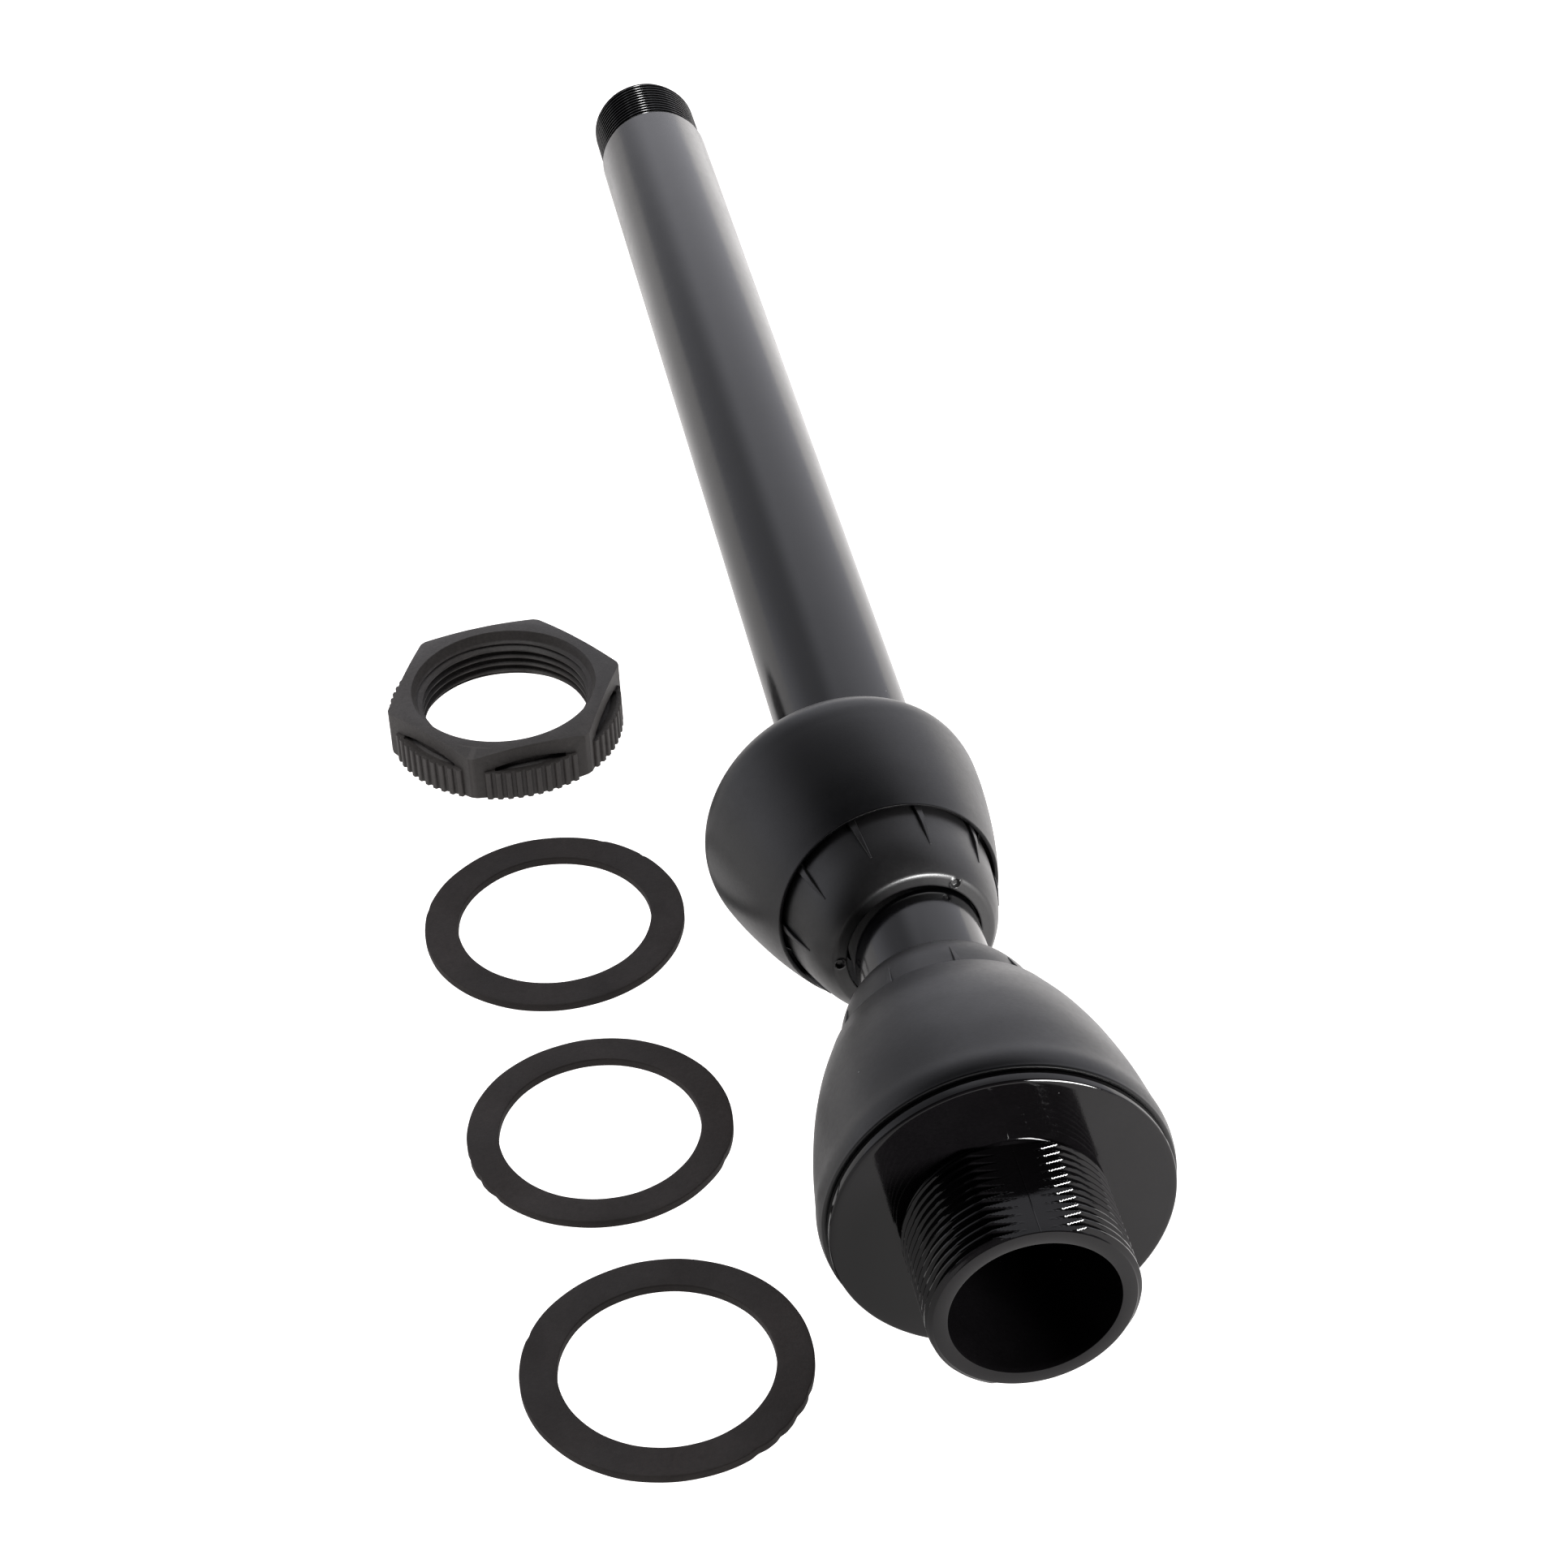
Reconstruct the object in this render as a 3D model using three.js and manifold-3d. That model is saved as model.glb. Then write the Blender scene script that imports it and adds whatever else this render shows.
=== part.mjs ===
// Sliding-bell standpipe with a threaded tank flange, hex locknut and three flat washers.
// Frame: millimetres, +Z up. The origin is the centre of the footprint, on the floor the parts
// lie on; +Y is parallel to the stub axis and points from the flange into the lower bell.
// Every piece sits in a group whose origin is the centre of the flange sealing face.
// Outlines are lists of [radius, y] points about the local Y axis unless noted.
import * as THREE from 'three';
import { mergeVertices } from 'three/addons/utils/BufferGeometryUtils.js';
import Module from 'manifold-3d';

const wasm = await Module();
wasm.setup();

// ---------------------------------------------------------------- frame
const FLOOR_Z = -35.95; // floor height, from the stub axis
const FACE_X = 31.55; // centre of the sealing face, from the footprint centre
const FACE_Y = -229.39;

// ---------------------------------------------------------------- base moulding
const BORE_R = 16.9;
const STUB = {
  length: 25.8, // sealing face to stub end
  endR: 20.0, // flat end face
  chamferR: 19.9,
  chamfer: 0.5,
  segments: 28,
};
const THREAD = {
  rootR: 19.55,
  crestR: 20.95,
  pitch: 2.08,
  ridges: 11,
  start: 1.84, // stub end to the first root
  rise: 1.15, // root to crest, along the axis
};
const UNDERCUT = { r: 19.3, y0: -1.4, y1: -0.9, faceR: 21.6 }; // groove below the flange
const FLANGE = { r: 34.55, thickness: 2.9, edge: 0.5 };
const RIM = { outerR: 33.5, innerR: 31.6, top: 7.6 }; // raised ring behind the flange
const NECK = { r: 19.0, top: 41.0, flare: 1.6 };
const WEB_Y = FLANGE.thickness + 1.1; // floor between rim and neck
const FLARE_TOP = FLANGE.thickness + 3.4;
// smooth strips across the stub thread; angles in degrees from +X towards +Z
const STRIP = { width: 8.0, depth: 4, flatR: THREAD.rootR - 0.15, topY: -0.7, shortfall: 2.0 };
const STRIP_ANGLES = [86.4, 266.4];

// ---------------------------------------------------------------- bells
const SHELL_T = 1.8;
const SHELL_END_T = 0.8; // wall at the last point of a shell outline
const SHELL_SEGMENTS = 28;
const LOWER_SHELL = [
  [35.35, 3.2], [35.9, 4.3], [35.2, 10.5], [33.8, 20.0],
  [31.7, 29.5], [30.2, 34.6], [28.4, 39.7], [25.1, 47.2],
];
// Stations count along a bell towards its lip; the tables below are [radius, station].
const LOWER_STATION_0 = 23.4; // y of station 0, lower bell
const UPPER_STATION = 39.0; // station of the upper bell's tilt centre
const UPPER_SHELL_MOUTH = [[24.9, -19.6], [26.2, -18.1], [28.3, -15.4], [30.2, -12.6]];
const UPPER_MOUTH_INNER = [[24.2, -19.6], [24.4, -17.5], [26.1, -14.2], [28.2, -11.7]];
const UPPER_SHELL_WALL = [
  [31.2, -10.2], [31.45, -7.6], [31.1, -4.0], [30.4, 0.5],
  [29.3, 6.1], [27.9, 12.2], [26.2, 18.3], [24.8, 22.6],
];
const UPPER_CLIP = [[21.9, 0.0], [21.9, 3.6], [27.3, 3.6], [28.0, 0.0]];
const LOWER_CLIP = [[19.4, 34.0], [27.6, 34.0], [26.9, 36.8], [19.4, 36.8]]; // [radius, y]

// cone insert, the same moulding in both bells apart from its ends
const LIP_R = 14.95; // hole around the pipe, upper bell
const LOWER_LIP_R = 15.7;
const INSERT_SKIRT = { outerR: 22.8, innerR: 21.2 };
const INSERT_OUTER = [
  [22.8, 22.6], [22.2, 27.0], [21.3, 31.8], [20.3, 34.8], [19.2, 37.0], [17.7, 38.6],
  [LIP_R, 39.0],
];
const INSERT_INNER = [
  [21.2, 22.0], [20.7, 27.0], [19.7, 31.4], [18.5, 34.2], [17.0, 36.6], [LIP_R, 37.4],
];
const RIB_OUTLINE = [
  [21.9, 16.0], [23.85, 16.0], [23.85, 22.0], [23.0, 27.0],
  [21.4, 32.3], [20.5, 32.3], [21.5, 27.0],
];
const RIBS = 10;
const RIB_W = 1.3;
const DIMPLE = { r: 1.0, height: 1.4, fromAxis: 16.4, station: 38.6, segments: 8 };

// tilt centre and axis of the upper bell (towards the tip)
const BELL_PIVOT = new THREE.Vector3(0.37, 83.73, -1.51);
const BELL_DIR = new THREE.Vector3(-0.1274, 0.99, -0.0604).normalize();

// ---------------------------------------------------------------- riser
// The ball sits a little off the stub axis, within its play.
const BALL_CENTRE = new THREE.Vector3(0.4, 53.0, 0);
const TIP_CENTRE = new THREE.Vector3(5.17, 483.9, -21.2);
const RISER_AXIS = TIP_CENTRE.clone().sub(BALL_CENTRE);
const RISER_LEN = RISER_AXIS.length();
const BALL = { r: 16.8, halfWidth: 6.2, steps: 8 };
const SEAT = { innerR: 15.1, outerR: 19.9, y0: 44.9, y1: 49.5, arcEnd: 45.1, gap: 0.4, steps: 5 };
// y from here on is measured from the ball centre along the riser
const PIPE = { r: 14.05, bore: 10.6, start: -9.2, shoulder: 76.2, spigotR: 12.3, end: 107 };
const TUBE = { r: 15.1, bore: 13.1, start: 77.8, chamfer: 0.3 };
const TIP = {
  length: 21.5, // threaded part beyond the tube
  bore: 11.3,
  shankR: 12.8, // part inside the tube
  shankLen: 26,
  rootR: 13.65,
  crestR: 14.5,
  pitch: 1.65,
  ridges: 12,
  start: 0.75,
  rise: 0.8,
  step: 0.3, // tube end to the shoulder, also the end chamfer
};
const TUBE_END = RISER_LEN - TIP.length;

// ---------------------------------------------------------------- locknut and washers
const NUT = { x: -70.4, y: 224.5, turn: 6.5, height: 13.0, apothem: 24.9 };
const NUT_CORNER = { r: 28.35, spread: 0.062 }; // blunted; spread in radians to each side
const NUT_CHAMFER = { drop: 2.6, topR: 25.0, clearR: 31, segments: 48 };
const KNURL = {
  height: 7.8,
  teeth: 72,
  crestR: 27.9,
  depth: 0.55,
  halfAngle: 0.42, // radians to each side of a flat's middle
  cornerR: 24.6, // hidden inside the hex near the corners
};
const NUT_HOLE = {
  mouthR: 22.6, // at the overcut beyond either face
  overcut: 1,
  entryR: 19.95,
  entryZ: 1.7,
  crestR: 19.75,
  rootR: 21.1,
  ridges: 4,
  start: 2.1,
  rise: 1.05,
  exitR: 19.85,
  exitZ: 11.3,
  segments: 32,
};

const WASHER_T = 2.0;
const WASHERS = [
  // name, x, y, outer radius, inner radius
  ['flat_washer_a', -69.6, 148.8, 29.4, 21.8],
  ['flat_washer_b', -69.7, 78.55, 28.35, 21.5],
  ['flat_washer_c', -66.9, 7.95, 29.4, 21.8],
];

// ---------------------------------------------------------------- materials
const finish = (color, roughness) =>
  new THREE.MeshStandardMaterial({ color, roughness, metalness: 0 });
const satin = (color) => finish(color, 0.55);
const gloss = (color) => finish(color, 0.16);
const rubber = (color) => finish(color, 0.85);
const COLOR = {
  base: 0x0d0d0f,
  shell: 0x1f1f22,
  insert: 0x232326,
  clip: 0x2b2b2e,
  seal: 0x1b1a19,
  seat: 0x2a2927,
  ball: 0x161618,
  pipe: 0x141416,
  tube: 0x1a1a1c,
  tip: 0x0c0c0d,
  nut: 0x2a2725,
  washer: 0x1d1b1a,
};

// ---------------------------------------------------------------- geometry helpers
const radians = THREE.MathUtils.degToRad;

function signedVolume(geometry) {
  const { position } = geometry.attributes;
  const { index } = geometry;
  const corners = [0, 1, 2].map(() => new THREE.Vector3());
  let volume = 0;
  for (let i = 0; i < index.count; i += 3) {
    corners.forEach((corner, k) => corner.fromBufferAttribute(position, index.getX(i + k)));
    volume += corners[0].dot(corners[1].cross(corners[2])) / 6;
  }
  return volume;
}

// Welds a geometry into a closed mesh: no collapsed triangles, faces outwards.
function closed(source) {
  source.deleteAttribute('normal');
  source.deleteAttribute('uv');
  const geometry = mergeVertices(source, 1e-4);
  const old = geometry.index;
  const kept = [];
  for (let i = 0; i < old.count; i += 3) {
    const [a, b, c] = [old.getX(i), old.getX(i + 1), old.getX(i + 2)];
    if (a !== b && b !== c && a !== c) kept.push(a, b, c);
  }
  geometry.setIndex(kept);
  if (signedVolume(geometry) < 0) {
    for (let i = 0; i < kept.length; i += 3) {
      [kept[i], kept[i + 1]] = [kept[i + 1], kept[i]];
    }
    geometry.setIndex(kept);
  }
  return geometry;
}

// Solid of revolution about the local Y axis; the outline is closed here.
function turned(outline, segments) {
  const points = [...outline, outline[0]].map(([r, y]) => new THREE.Vector2(r, y));
  return closed(new THREE.LatheGeometry(points, segments));
}

// The same, stood upright: the outline's y becomes z.
const turnedUpright = (outline, segments) => turned(outline, segments).rotateX(Math.PI / 2);

// Outline of a plain ring.
const ring = (innerR, outerR, y0, y1) => [[innerR, y0], [outerR, y0], [outerR, y1], [innerR, y1]];

// Prism along +Z over a list of [x, y] points.
function prism(outline, depth) {
  const shape = new THREE.Shape(outline.map(([x, y]) => new THREE.Vector2(x, y)));
  return closed(new THREE.ExtrudeGeometry(shape, { depth, bevelEnabled: false, steps: 1 }));
}

function toManifold(geometry) {
  return new wasm.Manifold(new wasm.Mesh({
    numProp: 3,
    vertProperties: new Float32Array(geometry.attributes.position.array),
    triVerts: new Uint32Array(geometry.index.array),
  }));
}

function fromManifold(solid) {
  const mesh = solid.getMesh();
  const geometry = new THREE.BufferGeometry();
  const vertices = new Float32Array(mesh.vertProperties);
  geometry.setAttribute('position', new THREE.BufferAttribute(vertices, 3));
  geometry.setIndex(Array.from(mesh.triVerts));
  return geometry;
}

// Sawtooth outline of a thread, drawn as separate ridges without a helix.
function ridges({ count, start, pitch, rise, fromR, toR }) {
  const points = [];
  for (let i = 0; i < count; i++) {
    const y = start + i * pitch;
    points.push([fromR, y], [toR, y + rise]);
  }
  return points;
}

// Outline points on a sphere centred on the axis, from y0 to y1.
function sphereArc(radius, centreY, y0, y1, steps) {
  const points = [];
  for (let i = 0; i <= steps; i++) {
    const y = y0 + (y1 - y0) * i / steps;
    points.push([Math.sqrt(radius * radius - (centreY - y) ** 2), y]);
  }
  return points;
}

// Inside of a shell wall, thinner at its last point.
function innerWall(outer) {
  const last = outer.length - 1;
  return outer.map(([r, y], i) => [r - (i === last ? SHELL_END_T : SHELL_T), y]);
}

function shell(outer, inner) {
  return turned([...outer, ...inner.reverse()], SHELL_SEGMENTS);
}

// ---------------------------------------------------------------- pieces
function stubStrip(angle) {
  const length = STUB.length - STRIP.shortfall;
  const box = new THREE.BoxGeometry(STRIP.depth, length, STRIP.width);
  box.translate(STRIP.flatR + STRIP.depth / 2, STRIP.topY - length / 2, 0);
  box.rotateY(-radians(angle));
  return toManifold(closed(box));
}

function stubFlange() {
  const outline = [
    [BORE_R, -STUB.length],
    [STUB.endR, -STUB.length],
    [STUB.chamferR, -STUB.length + STUB.chamfer],
    ...ridges({
      count: THREAD.ridges,
      start: -STUB.length + THREAD.start,
      pitch: THREAD.pitch,
      rise: THREAD.rise,
      fromR: THREAD.rootR,
      toR: THREAD.crestR,
    }),
    [UNDERCUT.r, UNDERCUT.y0],
    [UNDERCUT.r, UNDERCUT.y1],
    [UNDERCUT.faceR, 0],
    [FLANGE.r - FLANGE.edge, 0],
    [FLANGE.r, FLANGE.edge],
    [FLANGE.r, FLANGE.thickness],
    [RIM.outerR, FLANGE.thickness],
    [RIM.outerR, RIM.top],
    [RIM.innerR, RIM.top],
    [RIM.innerR, WEB_Y],
    [NECK.r + NECK.flare, WEB_Y],
    [NECK.r, FLARE_TOP],
    [NECK.r, NECK.top],
    [BORE_R, NECK.top],
  ];
  let solid = toManifold(turned(outline, STUB.segments));
  for (const angle of STRIP_ANGLES) solid = solid.subtract(stubStrip(angle));
  return fromManifold(solid);
}

const lowerY = (list) => list.map(([r, station]) => [r, station + LOWER_STATION_0]);
const upperY = (list) => list.map(([r, station]) => [r, UPPER_STATION - station]);

// toY turns stations into y; ribTurn and dimpleAngles are in degrees.
function coneInsert({ toY, skirtStation, lipR, ribTurn, dimpleAngles }) {
  const outer = [[INSERT_SKIRT.outerR, skirtStation], ...INSERT_OUTER];
  const inner = [[INSERT_SKIRT.innerR, skirtStation], ...INSERT_INNER];
  const wall = [...outer, ...inner.reverse()].map(([r, station]) => [Math.max(r, lipR), station]);
  let solid = toManifold(turned(toY(wall), 24));
  for (let i = 0; i < RIBS; i++) {
    const rib = prism(toY(RIB_OUTLINE), RIB_W);
    rib.translate(0, 0, -RIB_W / 2);
    rib.rotateY(-(radians(ribTurn) + i * 2 * Math.PI / RIBS));
    solid = solid.add(toManifold(rib));
  }
  const [[dimpleX, dimpleY]] = toY([[DIMPLE.fromAxis, DIMPLE.station]]);
  for (const angle of dimpleAngles) {
    const { r, height, segments } = DIMPLE;
    const dimple = new THREE.CylinderGeometry(r, r, height, segments);
    dimple.translate(dimpleX, dimpleY, 0);
    dimple.rotateY(-radians(angle));
    solid = solid.subtract(toManifold(closed(dimple)));
  }
  return fromManifold(solid);
}

function upperShell() {
  const outer = [...UPPER_SHELL_MOUTH, ...UPPER_SHELL_WALL];
  const inner = [...UPPER_MOUTH_INNER, ...innerWall(UPPER_SHELL_WALL)];
  return shell(upperY(outer), upperY(inner));
}

// Ring whose inside follows the ball with a small gap.
function ballSeat() {
  const { innerR, outerR, y0, y1, arcEnd, gap, steps } = SEAT;
  const arc = sphereArc(BALL.r + gap, BALL_CENTRE.y, y1, arcEnd, steps);
  return turned([[innerR, y0], [outerR, y0], [outerR, y1], ...arc], 28);
}

function riserBall() {
  const { r, halfWidth, steps } = BALL;
  const innerR = PIPE.r + 0.3;
  const arc = sphereArc(r, 0, -halfWidth, halfWidth, steps);
  return turned([[innerR, -halfWidth], ...arc, [innerR, halfWidth]], 24);
}

function innerPipe() {
  return turned([
    [PIPE.bore, PIPE.start],
    [PIPE.r, PIPE.start],
    [PIPE.r, PIPE.shoulder],
    [PIPE.spigotR, PIPE.shoulder],
    [PIPE.spigotR, PIPE.end],
    [PIPE.bore, PIPE.end],
  ], 32);
}

function riserTube() {
  return turned([
    [TUBE.bore, TUBE.start],
    [TUBE.r, TUBE.start],
    [TUBE.r, TUBE_END - TUBE.chamfer],
    [TUBE.r - TUBE.chamfer, TUBE_END],
    [TUBE.bore, TUBE_END],
  ], 32);
}

function tipNipple() {
  return turned([
    [TIP.bore, TUBE_END - TIP.shankLen],
    [TIP.shankR, TUBE_END - TIP.shankLen],
    [TIP.shankR, TUBE_END + TIP.step],
    [TIP.rootR, TUBE_END + TIP.step],
    ...ridges({
      count: TIP.ridges,
      start: TUBE_END + TIP.start,
      pitch: TIP.pitch,
      rise: TIP.rise,
      fromR: TIP.rootR,
      toR: TIP.crestR,
    }),
    [TIP.rootR, RISER_LEN - TIP.step],
    [TIP.rootR - TIP.step, RISER_LEN],
    [TIP.bore, RISER_LEN],
  ], 20);
}

const polar = (r, angle) => [r * Math.cos(angle), r * Math.sin(angle)];

// Hexagon with three points at each blunted corner.
function hexOutline() {
  const points = [];
  for (let k = 0; k < 6; k++) {
    for (const offset of [-NUT_CORNER.spread, 0, NUT_CORNER.spread]) {
      const flatR = NUT.apothem / Math.cos(Math.PI / 6 - Math.abs(offset));
      points.push(polar(Math.min(NUT_CORNER.r, flatR), k * Math.PI / 3 + offset));
    }
  }
  return points;
}

// Toothed disc, drawn in below the flats near the hex corners.
function knurlOutline() {
  const toothAngle = 2 * Math.PI / KNURL.teeth;
  const points = [];
  for (let i = 0; i < KNURL.teeth; i++) {
    const middle = (i + 0.5) * toothAngle + Math.PI / 6;
    for (const [offset, r] of [[-0.25, KNURL.crestR - KNURL.depth], [0.25, KNURL.crestR]]) {
      const angle = middle + offset * toothAngle;
      const fromFlat = Math.abs(angle % (Math.PI / 3) - Math.PI / 6);
      points.push(polar(fromFlat > KNURL.halfAngle ? KNURL.cornerR : r, angle));
    }
  }
  return points;
}

function locknut() {
  const { drop, topR, clearR, segments } = NUT_CHAMFER;
  const chamferCone = turnedUpright([
    [0, -1],
    [clearR, -1],
    [clearR, NUT.height - drop],
    [topR, NUT.height],
    [0, NUT.height],
  ], segments);
  const hole = turnedUpright([
    [0, -NUT_HOLE.overcut],
    [NUT_HOLE.mouthR, -NUT_HOLE.overcut],
    [NUT_HOLE.entryR, NUT_HOLE.entryZ],
    ...ridges({
      count: NUT_HOLE.ridges,
      start: NUT_HOLE.start,
      pitch: THREAD.pitch,
      rise: NUT_HOLE.rise,
      fromR: NUT_HOLE.crestR,
      toR: NUT_HOLE.rootR,
    }),
    [NUT_HOLE.exitR, NUT_HOLE.exitZ],
    [NUT_HOLE.mouthR, NUT.height + NUT_HOLE.overcut],
    [0, NUT.height + NUT_HOLE.overcut],
  ], NUT_HOLE.segments);
  return fromManifold(
    toManifold(prism(hexOutline(), NUT.height))
      .intersect(toManifold(chamferCone))
      .add(toManifold(prism(knurlOutline(), KNURL.height)))
      .subtract(toManifold(hole)),
  );
}

// ---------------------------------------------------------------- assembly
function addMesh(parent, name, geometry, material) {
  const mesh = new THREE.Mesh(geometry, material);
  mesh.name = name;
  parent.add(mesh);
  return mesh;
}

// Group whose local +Y points along a unit direction.
function addAimedGroup(parent, origin, direction) {
  const group = new THREE.Group();
  group.position.copy(origin);
  group.quaternion.setFromUnitVectors(new THREE.Vector3(0, 1, 0), direction);
  parent.add(group);
  return group;
}

function addBase(root) {
  addMesh(root, 'threaded_stub_flange', stubFlange(), gloss(COLOR.base));
  const lowerShell = shell(LOWER_SHELL, innerWall(LOWER_SHELL));
  addMesh(root, 'lower_bell_shell', lowerShell, satin(COLOR.shell));
  const insert = coneInsert({
    toY: lowerY,
    skirtStation: 14.6,
    lipR: LOWER_LIP_R,
    ribTurn: 12.6,
    dimpleAngles: [30, 150, 270],
  });
  addMesh(root, 'lower_cone_insert', insert, satin(COLOR.insert));
  addMesh(root, 'lower_clip_ring', turned(LOWER_CLIP, 28), satin(COLOR.clip));
  const faceSeal = turned(ring(17.2, NECK.r, 41.4, 44.5), 24);
  addMesh(root, 'lower_face_seal', faceSeal, rubber(COLOR.seal));
  const seat = addMesh(root, 'ball_seat_ring', ballSeat(), rubber(COLOR.seat));
  seat.position.x = BALL_CENTRE.x;
}

function addRiser(root) {
  const riser = addAimedGroup(root, BALL_CENTRE, RISER_AXIS.clone().normalize());
  const add = (name, geometry, material) => addMesh(riser, name, geometry, material);
  const seal = (name, outline, segments) =>
    add(name, turned(outline, segments), rubber(COLOR.seal));
  add('riser_ball', riserBall(), gloss(COLOR.ball));
  add('inner_pipe', innerPipe(), gloss(COLOR.pipe));
  seal('tube_end_gasket', ring(12.45, 14.9, 76.3, 77.7), 28);
  seal('annulus_o_ring_a', ring(12.35, 13.05, 91.0, 93.0), 32);
  seal('annulus_o_ring_b', ring(12.35, 13.05, 96.0, 98.0), 32);
  add('riser_tube', riserTube(), gloss(COLOR.tube));
  add('tip_thread_nipple', tipNipple(), gloss(COLOR.tip));
  seal('glide_ring', ring(14.35, 16.2, 41.8, 44.4), 24);
  add('swivel_ring', turned(ring(14.35, 16.6, 44.8, 47.2), 28), satin(COLOR.clip));
}

function addUpperBell(root) {
  const bell = addAimedGroup(root, BELL_PIVOT, BELL_DIR);
  addMesh(bell, 'upper_bell_shell', upperShell(), satin(COLOR.shell));
  const insert = coneInsert({
    toY: upperY,
    skirtStation: 4.2,
    lipR: LIP_R,
    ribTurn: 0,
    dimpleAngles: [55, 185, 300],
  });
  addMesh(bell, 'upper_cone_insert', insert, satin(COLOR.insert));
  addMesh(bell, 'upper_clip_ring', turned(upperY(UPPER_CLIP), 36), satin(COLOR.clip));
}

function addLooseParts(root) {
  const nut = addMesh(root, 'locknut', locknut(), satin(COLOR.nut));
  nut.rotation.z = radians(NUT.turn);
  nut.position.set(NUT.x, NUT.y, FLOOR_Z);
  for (const [name, x, y, outerR, innerR] of WASHERS) {
    const geometry = turnedUpright(ring(innerR, outerR, 0, WASHER_T), 40);
    addMesh(root, name, geometry, rubber(COLOR.washer)).position.set(x, y, FLOOR_Z);
  }
}

const object = new THREE.Group();
const root = new THREE.Group();
root.position.set(FACE_X, FACE_Y, -FLOOR_Z);
object.add(root);
addBase(root);
addRiser(root);
addUpperBell(root);
addLooseParts(root);

export default object;
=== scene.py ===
"""A ball-jointed stem, with its locknut and three flat washers lying on the floor on its -X side.

The stem runs along +Y, nearly level: a threaded stub with a flange, a lower and an upper bell
cover with a ribbed cone in each, a ball joint between them, and a long tube with a threaded tip.
"""

import math

import bpy
import numpy as np
from mathutils import Matrix


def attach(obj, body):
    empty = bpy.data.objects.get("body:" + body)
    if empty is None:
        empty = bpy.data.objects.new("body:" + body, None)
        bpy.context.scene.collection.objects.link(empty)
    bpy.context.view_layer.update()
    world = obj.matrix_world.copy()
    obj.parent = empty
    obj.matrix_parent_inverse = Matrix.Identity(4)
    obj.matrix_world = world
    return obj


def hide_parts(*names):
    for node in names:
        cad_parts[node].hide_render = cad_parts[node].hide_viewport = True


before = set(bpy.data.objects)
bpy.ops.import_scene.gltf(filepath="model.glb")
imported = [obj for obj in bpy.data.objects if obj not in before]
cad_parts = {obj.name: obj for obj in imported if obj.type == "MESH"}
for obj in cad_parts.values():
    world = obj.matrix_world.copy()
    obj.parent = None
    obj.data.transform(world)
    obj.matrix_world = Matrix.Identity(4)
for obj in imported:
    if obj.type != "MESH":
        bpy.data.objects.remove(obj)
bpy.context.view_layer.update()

# Shapes are in millimetres about the centre of the flange face, with +Y along the stub axis.
# SHIFT takes them to the frame of the loaded pieces, where the floor is at z = 0.
SHIFT = np.array([31.55, -229.39, 35.95])
FLOOR = -SHIFT[2]
TAU = 2 * math.pi


# ------------------------------------------------------------------ placement
def turn_to(direction):
    """Smallest rotation that takes +Y to direction."""
    unit = np.array(direction, float)
    unit /= np.linalg.norm(unit)
    up = np.array([0.0, 1.0, 0.0])
    x, y, z = np.cross(up, unit)
    skew = np.array([[0, -z, y], [z, 0, -x], [-y, x, 0]])
    return np.eye(3) + skew + skew @ skew / (1 + float(up @ unit))


PIVOT = np.array([0.4, 53.0, 0.0])          # centre of the ball joint
TIP = np.array([5.17, 483.9, -21.2])        # far end of the tube
RISER_LEN = float(np.linalg.norm(TIP - PIVOT))

# Each place is a rotation and an origin; pieces are turned about their own +Y.
BASE = (np.eye(3), np.zeros(3))
SEAT = (np.eye(3), np.array([0.4, 0.0, 0.0]))
RISER = (turn_to(TIP - PIVOT), PIVOT)
BELL = (turn_to((-0.1274, 0.99, -0.0604)), np.array([0.37, 83.73, -1.51]))
Y_TO_Z = np.array([[1.0, 0, 0], [0, 0, -1.0], [0, 1.0, 0]])


# ------------------------------------------------------------------ outlines
def wrap(angle):
    """The angle brought to -pi..pi."""
    return (angle + math.pi) % TAU - math.pi


def fillet(points, radii, segments=5):
    """Closed outline with its corners rounded. radii is one number or one per point."""
    out, count = [], len(points)
    radii = np.broadcast_to(radii, count)
    for i in range(count):
        corner, before, after = (np.array(points[k % count], float) for k in (i, i - 1, i + 1))
        back, ahead = before - corner, after - corner
        len_back, len_ahead = np.linalg.norm(back), np.linalg.norm(ahead)
        back, ahead = back / len_back, ahead / len_ahead
        half = math.acos(max(-1.0, min(1.0, float(back @ ahead)))) / 2
        if radii[i] <= 0 or half > math.pi / 2 - 0.01:
            out.append((corner[0], corner[1]))
            continue
        trim = min(radii[i] / math.tan(half), 0.47 * len_back, 0.47 * len_ahead)
        radius = trim * math.tan(half)
        middle = back + ahead
        centre = corner + middle / np.linalg.norm(middle) * radius / math.sin(half)
        start, end = corner + back * trim - centre, corner + ahead * trim - centre
        angle = math.atan2(start[1], start[0])
        sweep = wrap(math.atan2(end[1], end[0]) - angle)
        for k in range(segments + 1):
            now = angle + sweep * k / segments
            out.append((centre[0] + radius * math.cos(now), centre[1] + radius * math.sin(now)))
    return out


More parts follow.
